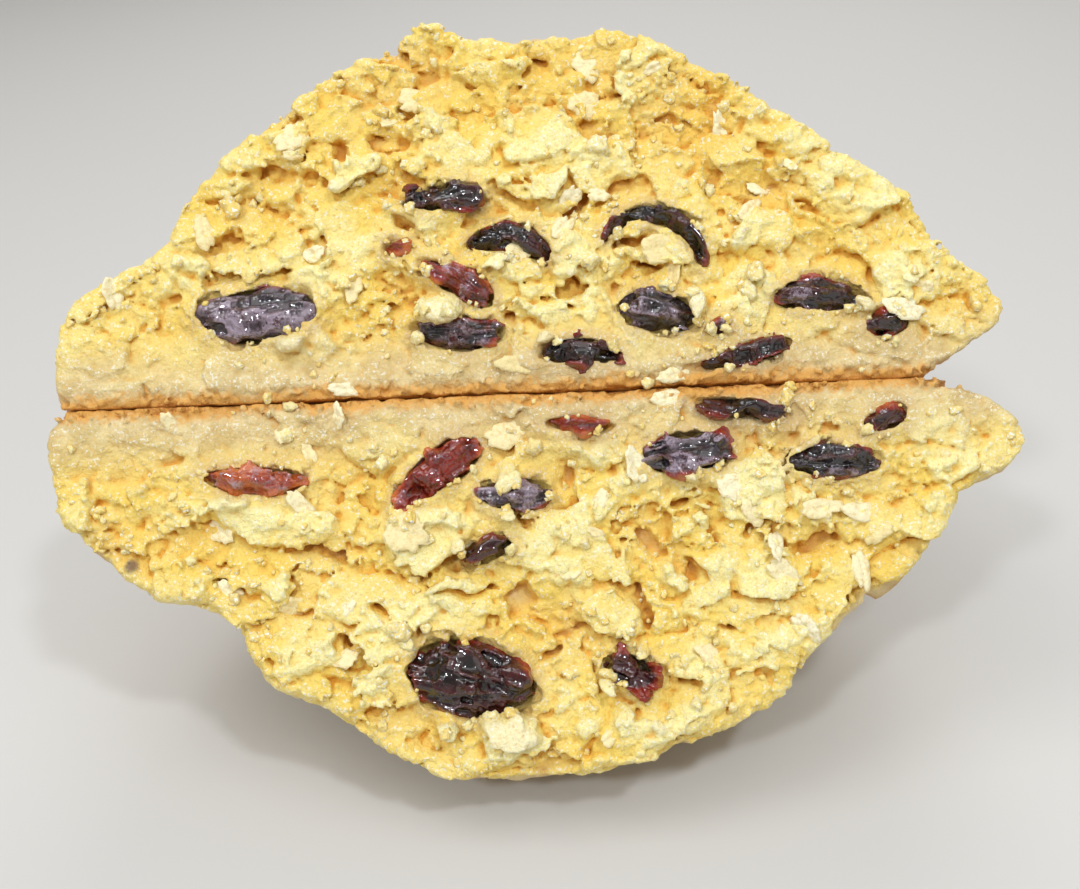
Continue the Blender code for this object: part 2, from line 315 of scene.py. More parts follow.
def region(low, shape, voxel, centre, reach):
    """The slices of a volume round a centre, and the points in them."""
    start = np.maximum(np.floor((centre - reach - low) / voxel).astype(int), 0)
    stop = np.minimum(np.ceil((centre + reach - low) / voxel).astype(int) + 1, shape)
    slices = tuple(slice(a, b) for a, b in zip(start, stop))
    axes = [low[axis] + voxel * np.arange(start[axis], stop[axis]) for axis in range(3)]
    mesh = np.meshgrid(*axes, indexing="ij")
    points = np.stack([part.ravel() for part in mesh], axis=1).astype(np.float32)
    return slices, points, mesh[0].shape


def keep_largest(vertex_count, triangles, quads):
    """Which vertices belong to the biggest connected part of a mesh."""
    sides = [triangles[:, (0, 1)], triangles[:, (1, 2)]]
    sides += [quads[:, (0, 1)], quads[:, (1, 2)], quads[:, (2, 3)]]
    pairs = np.concatenate(sides).astype(np.int64)
    label = np.arange(vertex_count)
    while True:
        lowest = np.minimum(label[pairs[:, 0]], label[pairs[:, 1]])
        updated = label.copy()
        np.minimum.at(updated, pairs[:, 0], lowest)
        np.minimum.at(updated, pairs[:, 1], lowest)
        updated = updated[updated]
        if (updated == label).all():
            break
        label = updated
    return label == np.bincount(label).argmax()


def volume_to_mesh(name, volume, low, voxel, side):
    """Meshes the zero surface of a volume given in a half's terms, and puts it in the world."""
    grid = openvdb.FloatGrid(float(volume.max()))
    grid.copyFromArray(np.ascontiguousarray(volume, np.float32))
    points, triangles, quads = grid.convertToPolygons(0.0, 0.0)
    kept = keep_largest(len(points), triangles, quads)
    renumber = np.cumsum(kept) - 1
    triangles = renumber[triangles[kept[triangles[:, 0]]]]
    quads = renumber[quads[kept[quads[:, 0]]]]
    local = points[kept] * voxel + low
    made = mesh_piece(name, to_world(local, side), triangles, quads)
    if side < 0:
        made.data.flip_normals()
    return made, local


def mesh_piece(name, points, triangles, quads):
    corners = np.concatenate([triangles.ravel(), quads.ravel()]).astype(np.int32)
    triangle_starts = np.arange(len(triangles)) * 3
    starts = np.concatenate([triangle_starts, len(triangles) * 3 + np.arange(len(quads)) * 4])
    mesh = bpy.data.meshes.new(name)
    mesh.vertices.add(len(points))
    mesh.vertices.foreach_set("co", np.asarray(points, np.float32).ravel())
    mesh.loops.add(len(corners))
    mesh.loops.foreach_set("vertex_index", corners)
    mesh.polygons.add(len(starts))
    mesh.polygons.foreach_set("loop_start", starts.astype(np.int32))
    mesh.update(calc_edges=True)
    mesh.validate()
    mesh.shade_smooth()
    made = bpy.data.objects.new(name, mesh)
    bpy.context.scene.collection.objects.link(made)
    return made


def add_attribute(piece, name, values):
    layer = piece.data.attributes.new(name, "FLOAT", "POINT")
    layer.data.foreach_set("value", np.asarray(values, np.float32))


def mesh_points(mesh):
    points = np.zeros(len(mesh.vertices) * 3, np.float32)
    mesh.vertices.foreach_get("co", points)
    return points.reshape(-1, 3).astype(float)


def mesh_triangles(mesh):
    mesh.calc_loop_triangles()
    corners = np.zeros(len(mesh.loop_triangles) * 3, np.int32)
    mesh.loop_triangles.foreach_get("vertices", corners)
    return corners.reshape(-1, 3)


# ---------------------------------------------------------------- frame of the break

def find_seam():
    """The middle of the seam at the break, from the two halves' own solids."""
    upper = mesh_points(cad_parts["cookie_upper_half"].data)
    lower = mesh_points(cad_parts["cookie_lower_half"].data)
    middle_rise = ((upper @ RISE).min() + (lower @ RISE).max()) / 2
    front = (upper @ DEEP).min()
    return DEEP * front + RISE * middle_rise


SEAM = find_seam()


def to_world(local, side):
    local = np.asarray(local, float)
    offset = local[:, :1] * ACROSS + local[:, 1:2] * DEEP + side * local[:, 2:3] * RISE
    return SEAM + MM * offset


def to_local(world, side):
    offset = (np.asarray(world, float) - SEAM) / MM
    return np.stack([offset @ ACROSS, offset @ DEEP, side * (offset @ RISE)], axis=1)


# ---------------------------------------------------------------- raisins as volumes

def raisin_spine(raisin, count=25):
    """Middles, directions and radius shares along a raisin, as it curls in the broken face."""
    across, rise, length, width, turn, bend, taper = raisin
    turn = math.radians(turn)
    bend = math.radians(bend)
    along = np.linspace(-0.5, 0.5, count) * 0.96
    angle = -bend * along
    if bend == 0:
        x, y = along * length, np.zeros(count)
    else:
        radius = length / bend
        x, y = -radius * np.sin(angle), radius * (np.cos(angle) - 1)
    spine_x = across + x * math.cos(turn) - y * math.sin(turn)
    spine_y = rise + x * math.sin(turn) + y * math.cos(turn)
    radius_share = np.sqrt(1 - (2 * along) ** 2) * (1 + 2 * taper * along)
    return spine_x, spine_y, angle + turn, radius_share, along


def raisin_size(raisin):
    thickness = LEAST_THICKNESS + THICKNESS_PER_WIDTH * raisin.width
    return raisin.width, thickness, SUNK_SHARE * thickness


def raisin_distance(raisin, points):
    """How far points are from a raisin, flat distance in the face, and place along and around it."""
    spine_x, spine_y, heading, radius_share, along = raisin_spine(raisin)
    width, thickness, sunk = raisin_size(raisin)
    best = np.full(len(points), 99.0, np.float32)
    flat = np.full(len(points), 99.0, np.float32)
    place = np.zeros(len(points), np.float32)
    sideways = np.zeros(len(points), np.float32)
    squash = thickness / width
    depth = (points[:, 1] - sunk) / squash
    for x, y, turn, share, step in zip(spine_x, spine_y, heading, radius_share, along):
        off_x = points[:, 0] - x
        off_y = points[:, 2] - y
        plane = np.hypot(off_x, off_y)
        radius = max(0.1, share * width / 2)
        round_distance = (np.hypot(plane, depth) - radius) * min(1.0, squash)
        closer = round_distance < best
        best = np.where(closer, round_distance, best)
        place = np.where(closer, step * raisin.length, place)
        sideways = np.where(closer, -off_x * math.sin(turn) + off_y * math.cos(turn), sideways)
        flat = np.minimum(flat, plane - radius)
    return best, flat, place, sideways


def to_raisins(points, raisins):
    """How far points are from the nearest raisin, and flat in the face, up to a few millimetres."""
    nearest = np.full((2, len(points)), 9.0, np.float32)
    for raisin in raisins:
        gap = np.hypot(points[:, 0] - raisin.across, points[:, 2] - raisin.rise)
        close = (gap < raisin.length / 2 + 3) & (points[:, 1] < 5)
        distance, flat, _, _ = raisin_distance(raisin, points[close])
        nearest[:, close] = np.minimum(nearest[:, close], (distance, flat))
    return nearest


# ---------------------------------------------------------------- the crumb

def half_volume(name, side, raisins):
    """The half's solid as a rounded distance volume, its raisin pockets filled.

    The solid is mirrored in its base first, so that rounding leaves the base edge alone.
    """
    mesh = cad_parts[name].data
    points = to_local(mesh_points(mesh), side)
    triangles = mesh_triangles(mesh)
    base = points[:, 2].min()
    on_base = (points[triangles, 2] < base + 0.02).all(axis=1)
    triangles = triangles[~on_base]
    mirrored = points * (1, 1, -1) + (0, 0, 2 * base)
    low = np.append(points.min(0)[:2] - MARGIN, -MARGIN)
    shape = np.ceil((points.max(0) + MARGIN - low) / COARSE).astype(int)
    both = (np.concatenate([points, mirrored]) - low) / COARSE
    both_triangles = np.concatenate([triangles, triangles[:, ::-1] + len(points)])
    grid = openvdb.FloatGrid.createLevelSetFromPolygons(
        points=both.astype(np.float32), triangles=both_triangles.astype(np.uint32),
        halfWidth=float(FACE_BAND / COARSE + 3))
    volume = np.zeros(shape, np.float32)
    grid.copyToArray(volume)
    volume *= COARSE
    for raisin in raisins:
        centre = np.array((raisin.across, 1.5, raisin.rise))
        slices, places, block = region(low, shape, COARSE, centre, raisin.length / 2 + 4)
        distance = raisin_distance(raisin._replace(taper=0), places)[0].reshape(block)
        behind = places[:, 1].reshape(block)
        filled = np.maximum(distance - 0.7, -behind)
        volume[slices] = np.minimum(volume[slices], filled)
    return blur(volume, ROUNDING / COARSE), low


def oval(points, spot):
    """Distance measure of points in the face from a turned oval spot: 0 at its middle, 1 at its edge."""
    turn = math.radians(spot.turn)
    off_x = points[:, 0] - spot.across
    off_y = points[:, 2] - spot.rise
    along = (off_x * math.cos(turn) + off_y * math.sin(turn)) / (spot.length / 2)
    beside = (-off_x * math.sin(turn) + off_y * math.cos(turn)) / (spot.width / 2)
    return np.hypot(along, beside)


def crumb_relief(points, seed, side, raisins, hollows, plates, covers, smooth, low):
    """How far the torn face stands out, in millimetres, at points near it."""
    leaning = points.copy()
    leaning[:, 2] -= side * OVERHANG * points[:, 1]
    ragged = warped(leaning, 0.55, 2.4, seed + 1)
    ragged = warped(ragged, 0.32, 1.0, seed + 2)
    ragged = warped(ragged, 0.2, 0.5, seed + 50)

    # Broken slabs, and smaller chips on them.
    level, slope, edge = cells(ragged, (6.4, 9.0, 4.2), seed + 3)
    relief = 1.7 * (level - 0.5) + 2.2 * slope - 0.4 * (1 - smooth_step(0.0, 0.1, edge))
    level, slope, edge = cells(ragged, (2.5, 4.0, 1.8), seed + 4)
    relief += 0.75 * (level - 0.5) + 1.2 * slope - 0.2 * (1 - smooth_step(0.0, 0.16, edge))
    # Grains, which stand out more in some places than in others.
    crumbly = smooth_step(-0.35, 0.35, cloud(points, 5.0, seed + 53))
    grain = lumps(warped(points, 0.15, 0.5, seed + 5), (0.95, 1.1, 0.85), seed + 6, 0.5, 0.1)
    relief += (0.16 + 0.3 * crumbly) * (grain - 0.4)
    relief += 0.14 * lumps(points, (0.56, 0.62, 0.56), seed + 54, 0.4, 0.1)
    relief += 0.5 * layered_cloud(points, 10.0, seed + 7, 2)
    relief += 0.12 * cloud(points, 0.6, seed + 8)
    # Denser and calmer crumb near the base and the rim, with a crumbly edge at the base itself.
    calm = 0.35 + 0.65 * smooth_step(2, 9, points[:, 2] + 3.0 * cloud(points, 9.0, seed + 9))
    behind = (points - low) / COARSE
    behind[:, 1] = (RIM_DEPTH - low[1]) / COARSE
    inward = -sample(smooth, behind)
    relief *= calm * (0.35 + 0.65 * smooth_step(0.0, 3.0, inward))
    relief += (1 - smooth_step(0.3, 2.2, points[:, 2])) * (0.6 * grain - 0.5)

    # Plates, hollows, a plain bed for each raisin, and crumb that lies over some of them.
    torn_edge = 0.25 * cloud(points, 1.4, seed + 51) + 0.2 * cloud(points, 0.6, seed + 52)
    for spot in plates:
        edge = oval(ragged, spot) + torn_edge
        top = spot.height - 0.25 + 0.4 * relief
        relief += (top - relief) * (1 - smooth_step(0.92, 1.0, edge))
    for spot in hollows:
        edge = oval(ragged, spot) + torn_edge
        relief -= (spot.height + 0.2 * relief) * (1 - smooth_step(0.6, 1.0, edge))
    beside = 1 - smooth_step(0.3, 2.2, to_raisins(points, raisins)[1])
    relief -= beside * (0.5 * relief - 0.05)
    for spot in covers:
        edge = oval(ragged, spot) + torn_edge
        top = spot.height + 0.4 * relief
        relief += (top - relief) * (1 - smooth_step(0.85, 1.0, edge))
    return np.clip(relief, -2.3, 2.2)


def oat_plates(points, seed):
    """1 on the oat flakes that show as flat plates in the baked crust, and 0 between them."""
    height = lumps(warped(points, 0.5, 2.0, seed + 26), (5.8, 4.6, 5.2), seed + 27, 0.3, 0.12)
    return smooth_step(0.35, 0.5, height)


def onto_surface(points, smooth, low):
    """The nearest places on the plain surface to points near it."""
    index = (points - low) / COARSE
    slopes = [sample(smooth, index + step) - sample(smooth, index - step) for step in np.eye(3)]
    toward = np.stack(slopes, axis=1) / (2 * COARSE)
    return (points - toward * sample(smooth, index)[:, None]).astype(np.float32)


def crust_relief(points, seed):
    """How far the baked crust stands out, in millimetres."""
    lumpy = lumps(warped(points, 0.8, 3.0, seed + 21), 5.0, seed + 22, 0.4)
    finer = lumps(warped(points, 0.4, 1.2, seed + 24), 2.0, seed + 25, 0.4)
    relief = 0.9 * (lumpy - 0.6) + 0.3 * (finer - 0.6)
    relief += 0.3 * layered_cloud(points, 3.2, seed + 23, 2)
    relief += 0.4 * oat_plates(points, seed)
    return relief


def carve_pockets(grown, low, raisins, covers, seed):
    """Opens a ragged window in front of each raisin and a close pocket round it."""
    for raisin in raisins:
        centre = np.array((raisin.across, 0.5, raisin.rise))
        slices, places, block = region(low, grown.shape, VOXEL, centre, raisin.length / 2 + 3)
        distance, flat, _, _ = raisin_distance(raisin, places)
        ragged = 1.0 * cloud(places, 1.9, seed + 31) + 0.6 * cloud(places, 0.8, seed + 32)
        _, _, sunk = raisin_size(raisin)
        opening = np.where(places[:, 1] < sunk, flat + 0.25 + ragged, 9.0)
        for spot in covers:
            opening = np.maximum(opening, 1.5 * (1.1 - oval(places, spot)) + 0.5 * ragged)
        pocket = np.minimum(distance + 0.25, opening)
        grown[slices] = np.maximum(grown[slices], -pocket.reshape(block))


def grid_points(low, voxel, index):
    return (low + voxel * index).astype(np.float32)


def cut_base(grown, low, side, seed):
    """Cuts a half off at its base, with a ragged gap along the seam, and at the table."""
    shape = grown.shape
    index = np.argwhere(np.ones(shape[:2], bool))
    points = np.zeros((len(index), 3), np.float32)
    points[:, :2] = low[:2] + VOXEL * index
    base = BASE_GAP + 0.2 * smooth_step(-0.1, 0.6, cloud(points, 0.8, seed + 41))
    base += 0.4 * smooth_step(0.2, 0.75, cloud(points, 2.2, seed + 42))
    base *= 1 - 0.8 * smooth_step(SPLIT_REACH, SPLIT_REACH + 6, np.abs(points[:, 0] - SPLIT_MIDDLE))
    base *= 1 - smooth_step(1.5, 3.0, points[:, 1])
    base += 0.02
    rise = (low[2] + VOXEL * np.arange(shape[2], dtype=np.float32))[None, None, :]
    deep = (low[1] + VOXEL * np.arange(shape[1], dtype=np.float32))[None, :, None]
    grown = np.maximum(grown, base.reshape(shape[0], shape[1], 1) - rise)
    if side < 0:
        grown = np.maximum(grown, 0.02 - (SEAM[2] / MM + deep * DEEP[2] - rise * RISE[2]))
    return grown


def grow_crumb(name, node, side, raisins, hollows, plates, covers, seed):
    """A half of the cookie grown from its node's solid, with what its material reads at each point."""
    smooth, low = half_volume(node, side, raisins)

    near = np.argwhere(np.abs(smooth) < CRUST_BAND)
    points = grid_points(low, COARSE, near)
    baked = smooth_step(FACE_FADES, FACE_ENDS, points[:, 1])
    near, points, baked = near[baked > 0], points[baked > 0], baked[baked > 0]
    crusty = smooth.copy()
    crusty[tuple(near.T)] -= baked * in_parallel(crust_relief, onto_surface(points, smooth, low), seed)

    grown = doubled(crusty)
    slab = int((FACE_ENDS + MARGIN) / VOXEL)
    near = np.argwhere(np.abs(grown[:, :slab]) < FACE_BAND)
    points = grid_points(low, VOXEL, near)
    torn = 1 - smooth_step(FACE_FADES, FACE_ENDS, points[:, 1])
    near, points, torn = near[torn > 0], points[torn > 0], torn[torn > 0]
    relief = in_parallel(crumb_relief, points, seed, side, raisins, hollows, plates, covers, smooth, low)
    grown[tuple(near.T)] -= torn * relief
    carve_pockets(grown, low, raisins, covers, seed)
    grown = cut_base(blur(grown, 0.4), low, side, seed)
    piece, local = volume_to_mesh(name, grown, low, VOXEL, side)

    places = (local - low) / VOXEL
    # How hollow each place lies, at two sizes, and how far it stands out from the plain surface: the
    # material paints shade in the hollows and highlight on what stands out.
    front = (grown[:, :slab + 8] < 0).astype(np.float32)
    add_attribute(piece, "hollow_fine", sample(blur(front, 0.6 / VOXEL), places))
    coarse = (blur(grown, 0.6)[::2, ::2, ::2] < 0).astype(np.float32)
    add_attribute(piece, "hollow_broad", sample(blur(coarse, 1.6 / COARSE), places / 2))
    add_attribute(piece, "raised", sample(doubled(smooth), places))
    add_attribute(piece, "deep", local[:, 1])
    add_attribute(piece, "rise", local[:, 2])
    from_raisin = to_raisins(local.astype(np.float32), raisins)[0]
    add_attribute(piece, "stain", 1 - smooth_step(0.0, 1.8, from_raisin))
    if side < 0:
        gap = local - RAISIN_TIP
        add_attribute(piece, "tip", 1 - smooth_step(0.4, 1.0, np.hypot(gap[:, 0], gap[:, 2])))
    add_attribute(piece, "oat", in_parallel(oat_plates, onto_surface(local, smooth, low), seed))
    thin_out(piece, local)
    return piece


def decimate(piece, ratio, group=""):
    modifier = piece.modifiers.new("thinned", "DECIMATE")
    modifier.ratio = ratio
    modifier.vertex_group = group
    modifier.vertex_group_factor = 1.0
    thinned = bpy.data.meshes.new_from_object(piece.evaluated_get(bpy.context.evaluated_depsgraph_get()))
    piece.modifiers.clear()
    piece.data = thinned


def thin_out(piece, local):
    """Merges small faces, first on the plain crust and then all over, to keep within the most."""
    name = piece.name
    crusty = local[:, 1] > FACE_ENDS - 0.8
    triangles = mesh_triangles(piece.data)
    count = len(triangles)
    in_crust = crusty[triangles].all(axis=1).sum()
    group = piece.vertex_groups.new(name="crust")
    group.add(np.nonzero(crusty)[0].tolist(), 1.0, "REPLACE")
    decimate(piece, (count - in_crust + CRUST_TRIANGLES) / count, "crust")
    piece.vertex_groups.clear()
    middle = len(mesh_triangles(piece.data))
    decimate(piece, min(1.0, MOST_TRIANGLES / middle))
    piece.data.name = name
    piece.data.shade_smooth()
    print(name, "triangles", count, "of them crust", in_crust, "then", middle)


# ---------------------------------------------------------------- raisins as pieces

RAISIN_VOXEL = 0.15


def bent_distance(points, raisin, crumple, seed):
    """Distance from a raisin whose plain oval has been pushed out of shape."""
    bent = warped(points, 0.95 * crumple, 2.4, seed)
    bent = warped(bent, 0.4 * crumple, 1.0, seed + 1)
    return raisin_distance(raisin, bent)[0]


def skin_height(points, raisin, crumple, seed):
    """How far a raisin's skin stands out: sharp ridges along it, with finer ones between."""
    _, _, place, sideways = raisin_distance(raisin, points)
    skin = np.stack([place, points[:, 1], sideways], axis=1)
    skin = warped(skin, 0.6, 2.0, seed + 2)
    wide = 1 - np.abs(cloud(skin, (2.6, 1.2, 1.2), seed + 3))
    fine = 1 - np.abs(cloud(skin, (1.1, 0.55, 0.55), seed + 4))
    return 0.8 * crumple * (wide ** 3 - 0.45) + 0.4 * (fine ** 2 - 0.6)


def grow_raisin(name, node, raisin, look, side, seed):
    """A wrinkled raisin on its node's own place and size."""
    amber, bloom, crumple = look
    width, thickness, sunk = raisin_size(raisin)
    reach = np.array((raisin.length, thickness, raisin.length)) / 2 + 1.2
    centre = np.array((raisin.across, sunk, raisin.rise))
    low = centre - reach
    shape = np.ceil(2 * reach / RAISIN_VOXEL).astype(int)
    rough_shape = tuple(shape // 2 + 1)
    index = np.argwhere(np.ones(rough_shape, bool))
    rough = in_parallel(bent_distance, grid_points(low, 2 * RAISIN_VOXEL, index), raisin, crumple, seed)
    volume = doubled(rough.reshape(rough_shape).astype(np.float32))
    near = np.argwhere(np.abs(volume) < 1.0)
    points = grid_points(low, RAISIN_VOXEL, near)
    height = in_parallel(skin_height, points, raisin, crumple, seed)
    volume[tuple(near.T)] += min(1.0, width / 4 + 0.2) * (0.3 - height)
    piece, local = volume_to_mesh(name, blur(volume, 0.45), low, RAISIN_VOXEL, side)
    add_attribute(piece, "fold", in_parallel(skin_height, local.astype(np.float32), raisin, crumple, seed))
    _, flat, _, _ = raisin_distance(raisin, local.astype(np.float32))
    add_attribute(piece, "rim", smooth_step(-0.9, 0.1, flat))
    add_attribute(piece, "amber", np.full(len(local), amber))
    add_attribute(piece, "bloom", np.full(len(local), bloom))
    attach(piece, "root")
    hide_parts(node)
    return piece


# ---------------------------------------------------------------- oat flakes and loose crumbs

# Oat flakes that stand out in the photo's view: (side, across, rise, length, width, turn, tip, roll).
NOTED_FLAKES = [
    (-1, -2.9, 4.2, 4.5, 2.8, -12, 8, 6), (1, -1.5, 2.8, 4.6, 1.8, -8, 20, 0),
    (1, -18.0, 11.8, 4.4, 1.8, 88, 15, 10), (1, -18.7, 1.0, 4.4, 1.4, -2, 25, 0),
    (1, 14.6, 1.1, 4.6, 1.5, 4, 20, 0), (-1, 13.8, 1.1, 4.2, 1.8, -12, 16, 0),
    (-1, -13.2, 13.8, 4.4, 4.0, 10, 6, 4), (-1, 10.0, 8.0, 3.8, 2.4, 70, 10, 20),
    (-1, 19.6, 10.6, 3.4, 2.6, 40, 12, 8), (-1, 21.6, 13.0, 3.4, 2.2, 60, 14, 20),
    (-1, 28.4, 13.0, 4.6, 2.0, -4, 10, 6), (-1, 32.4, 13.4, 4.0, 2.0, 6, 14, 10),
    (-1, 24.2, 19.2, 4.0, 2.2, 36, 12, 0), (1, 6.6, 30.0, 3.4, 3.0, 0, 8, 4),
    (1, 37.8, 6.9, 4.6, 2.2, -15, 10, 0), (1, -0.8, 14.5, 3.6, 2.2, 24, 18, 0),
    (-1, -23.5, 10.8, 4.6, 1.6, 48, 18, 10), (1, 13.4, 14.2, 4.0, 3.0, 12, 10, 8),
]
# Crumbs that lie on raisins or across the seam: (side, across, rise, size).
NOTED_CRUMBS = [
    (1, -8.0, 8.2, 1.5), (1, -10.4, 8.4, 1.2), (1, 16.4, 9.2, 1.3), (1, 16.9, 6.4, 1.0),
    (-1, -2.2, 9.4, 1.3), (-1, -3.6, 9.9, 1.0), (-1, -3.1, 11.9, 1.1), (-1, -5.4, 32.2, 1.6),
    (-1, -3.4, 31.8, 1.4), (-1, -9.8, 33.4, 1.2), (1, -24.5, 7.2, 1.0), (-1, 7.0, 29.4, 0.9),
    (1, 11.8, 0.5, 1.3), (-1, -24.6, 0.5, 1.2), (1, -26.8, 0.5, 1.0), (-1, 26.0, 0.5, 1.1),
    (1, 33.4, 7.4, 1.1), (-1, 16.3, 8.8, 1.1), (1, -1.8, 14.0, 1.2), (1, 1.4, 13.2, 1.1),
]
SCATTERED_FLAKES = 36
RIM_MARGIN = 1.2
LOOSE_CRUMBS = 460
RIM_CRUMBS = 6


class Surface:
    """The torn face of a half, to set flakes and crumbs on."""

    def __init__(self, piece, side):
        self.side = side
        self.points = mesh_points(piece.data)
        self.triangles = mesh_triangles(piece.data)
        corners = self.points[self.triangles]
        normals = np.cross(corners[:, 1] - corners[:, 0], corners[:, 2] - corners[:, 0])
        self.areas = np.linalg.norm(normals, axis=1) / 2
        self.normals = normals / (2 * self.areas[:, None] + 1e-20)
        self.middles = corners.mean(axis=1)
        self.local = to_local(self.middles, side)
        facing = -(self.normals @ DEEP)
        self.open = (facing > 0.35) & (self.local[:, 1] < 2.5)

    def within(self, across, rise):
        """Whether the face goes on for a while on all sides of a place."""
        off_x = self.local[self.open, 0] - across
        off_y = self.local[self.open, 2] - rise
        for side_x, side_y in ((1, 0), (-1, 0), (0, 1), (0, -1)):
            ahead = off_x * side_x + off_y * side_y
            beside = np.abs(off_x * side_y) + np.abs(off_y * side_x)
            if not ((ahead > RIM_MARGIN) & (ahead < RIM_MARGIN + 1.2) & (beside < 0.6)).any():
                return side_y < 0 and rise < RIM_MARGIN + 1
        return True

    def height_at(self, across, rise):
        """The most forward open place near a point in the face."""
        gap = np.hypot(self.local[:, 0] - across, self.local[:, 2] - rise)
        near = np.nonzero(self.open & (gap < 0.7))[0]
        if len(near) == 0:
            return None
        return np.percentile(self.local[near, 1], 30)


def flake_shape(length, width, generator):
    """A rolled oat: a thin oval, split at one end, cupped and wavy, as points and faces in millimetres."""
    around, rings = 28, 6
    angles = np.linspace(0, 2 * math.pi, around, endpoint=False)
    wobble = 1 + 0.09 * np.sin(3 * angles + generator.uniform(0, 6))
    wobble += 0.06 * np.sin(7 * angles + generator.uniform(0, 6)) + generator.normal(0, 0.05, around)
    wobble -= 0.22 * np.exp(-((angles - generator.uniform(0, 1)) / 0.16) ** 2)
    cup = generator.uniform(-0.25, 0.35)
    twist = generator.uniform(-0.12, 0.12)
    points = []
    for face in (1, -1):
        for ring in range(1, rings + 1):
            share = ring / rings
            x = share * wobble * length / 2 * np.cos(angles)
            y = share * wobble * width / 2 * np.sin(angles)
            bend = cup * (share ** 2) * width / 3 + twist * x * y
            bend += 0.05 * np.sin(5 * x + 2 * y)
            groove = -0.10 * np.exp(-(y / 0.2) ** 2) * (share < 0.95)
            half_thick = (0.2 + groove) * (1 - share ** 6) + 0.05
            points.append(np.stack([x, y, bend + face * half_thick], axis=1))
    points = np.concatenate(points + [np.array([(0, 0, 0.15), (0, 0, -0.15)])])
    quads, triangles = [], []
    per_face = around * rings
    for face in (0, 1):
        start = face * per_face
        for ring in range(rings - 1):
            for step in range(around):
                a = start + ring * around + step
                b = start + ring * around + (step + 1) % around
                quad = (a, b, b + around, a + around)
                quads.append(quad[::-1] if face == 0 else quad)
        for step in range(around):
            a, b = start + step, start + (step + 1) % around
            middle = 2 * per_face + face
            triangles.append((middle, a, b) if face == 0 else (middle, b, a))
    for step in range(around):
        a = (rings - 1) * around + step
        b = (rings - 1) * around + (step + 1) % around
        quads.append((a, a + per_face, b + per_face, b))
    return points, np.array(triangles), np.array(quads)


def crumb_shape(size, finer, generator):
    """A small lump broken off on several sides, with a grainy surface."""
    points, triangles = ROUND[finer]
    breaks = generator.normal(0, 1, (9, 3))
    breaks /= np.linalg.norm(breaks, axis=1)[:, None]
    reach = generator.uniform(0.5, 0.95, 9)
    lean = np.maximum(points @ breaks.T, 0.05)
    radius = np.minimum(1.0, (reach / lean).min(axis=1))
    offset = generator.uniform(0, 40, 3)
    places = (points * 1.6 + offset).astype(np.float32)
    radius = radius * (1.05 + 0.3 * cloud(places, 1.1, 901) + 0.3 * cloud(places, 0.5, 902))
    stretch = generator.uniform(0.75, 1.3, 3)
    return points * radius[:, None] * stretch * size / 2, triangles


def round_shapes():
    """Two plain balls of triangles, coarse and fine, that loose crumbs start from."""
    made = []
    for steps in (1, 2):
        mesh = bpy.data.meshes.new("ball")
        shape = bmesh.new()
        bmesh.ops.create_icosphere(shape, subdivisions=steps + 1, radius=1.0)
        shape.to_mesh(mesh)
        shape.free()
        made.append((mesh_points(mesh), mesh_triangles(mesh)))
        bpy.data.meshes.remove(mesh)
    return made


def turned(points, turn, tip, roll):
    """Points turned in the face, then tipped and rolled out of it; x along, y beside, z outwards."""
    matrix = Matrix.Rotation(turn, 3, "Z") @ Matrix.Rotation(tip, 3, "Y") @ Matrix.Rotation(roll, 3, "X")
    return points @ np.array(matrix).T


def join_shapes(name, shapes):
    """One piece from many small shapes, each (world points, triangles, quads, shade)."""
    points, triangles, quads, shades = [], [], [], []
    total = 0
    for shape_points, shape_triangles, shape_quads, shade in shapes:
        points.append(shape_points)
        triangles.append(np.asarray(shape_triangles).reshape(-1, 3) + total)
        quads.append(np.asarray(shape_quads, int).reshape(-1, 4) + total)
        shades.append(np.full(len(shape_points), shade))
        total += len(shape_points)
    piece = mesh_piece(name, np.concatenate(points), np.concatenate(triangles), np.concatenate(quads))
    add_attribute(piece, "shade", np.concatenate(shades))
    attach(piece, "root")
    return piece


def face_to_local(points):
    """From flake terms (x along the seam, y up the rise, z outwards) to a half's terms."""
    return np.stack([points[:, 0], -points[:, 2], points[:, 1]], axis=1)


def clear_of_raisins(across, rise, raisins, gap):
    for raisin in raisins:
        place = np.array([(across, 0.0, rise)], np.float32)
        if raisin_distance(raisin, place)[1][0] < gap:
            return False
    return True


def lay_flakes(surfaces):
    generator = np.random.default_rng(41)
    shapes = []
    wanted = list(NOTED_FLAKES)
    for side in (1, -1):
        surface = surfaces[side]
        chances = surface.areas * surface.open
        picks = generator.choice(len(chances), 400, p=chances / chances.sum())
        count = 0
        for pick in picks:
            across, _, rise = surface.local[pick]
            raisins = UPPER_RAISINS if side > 0 else LOWER_RAISINS
            if count == SCATTERED_FLAKES // 2 or rise < 1.2:
                continue
            if not clear_of_raisins(across, rise, raisins, 1.6) or not surface.within(across, rise):
                continue
            length = generator.uniform(2.0, 4.2)
            width = length * generator.uniform(0.45, 0.75)
            turn = generator.uniform(0, 180)
            tip = generator.normal(0, 22)
            roll = generator.normal(0, 28)
            wanted.append((side, across, rise, length, width, turn, tip, roll))
            count += 1
    for side, across, rise, length, width, turn, tip, roll in wanted:
        depth = surfaces[side].height_at(across, rise)
        points, triangles, quads = flake_shape(length, width, generator)
        if depth is None:
            continue
        points = turned(points, math.radians(turn), math.radians(tip), math.radians(roll))
        local = face_to_local(points) + (across, depth + 0.1, rise)
        if local[:, 2].min() < 0.15:
            local[:, 2] += 0.15 - local[:, 2].min()
        if side < 0:
            triangles, quads = triangles[:, ::-1], quads[:, ::-1]
        shapes.append((to_world(local, side), triangles, quads, generator.uniform(0, 1)))
    return join_shapes("oat_flakes", shapes)


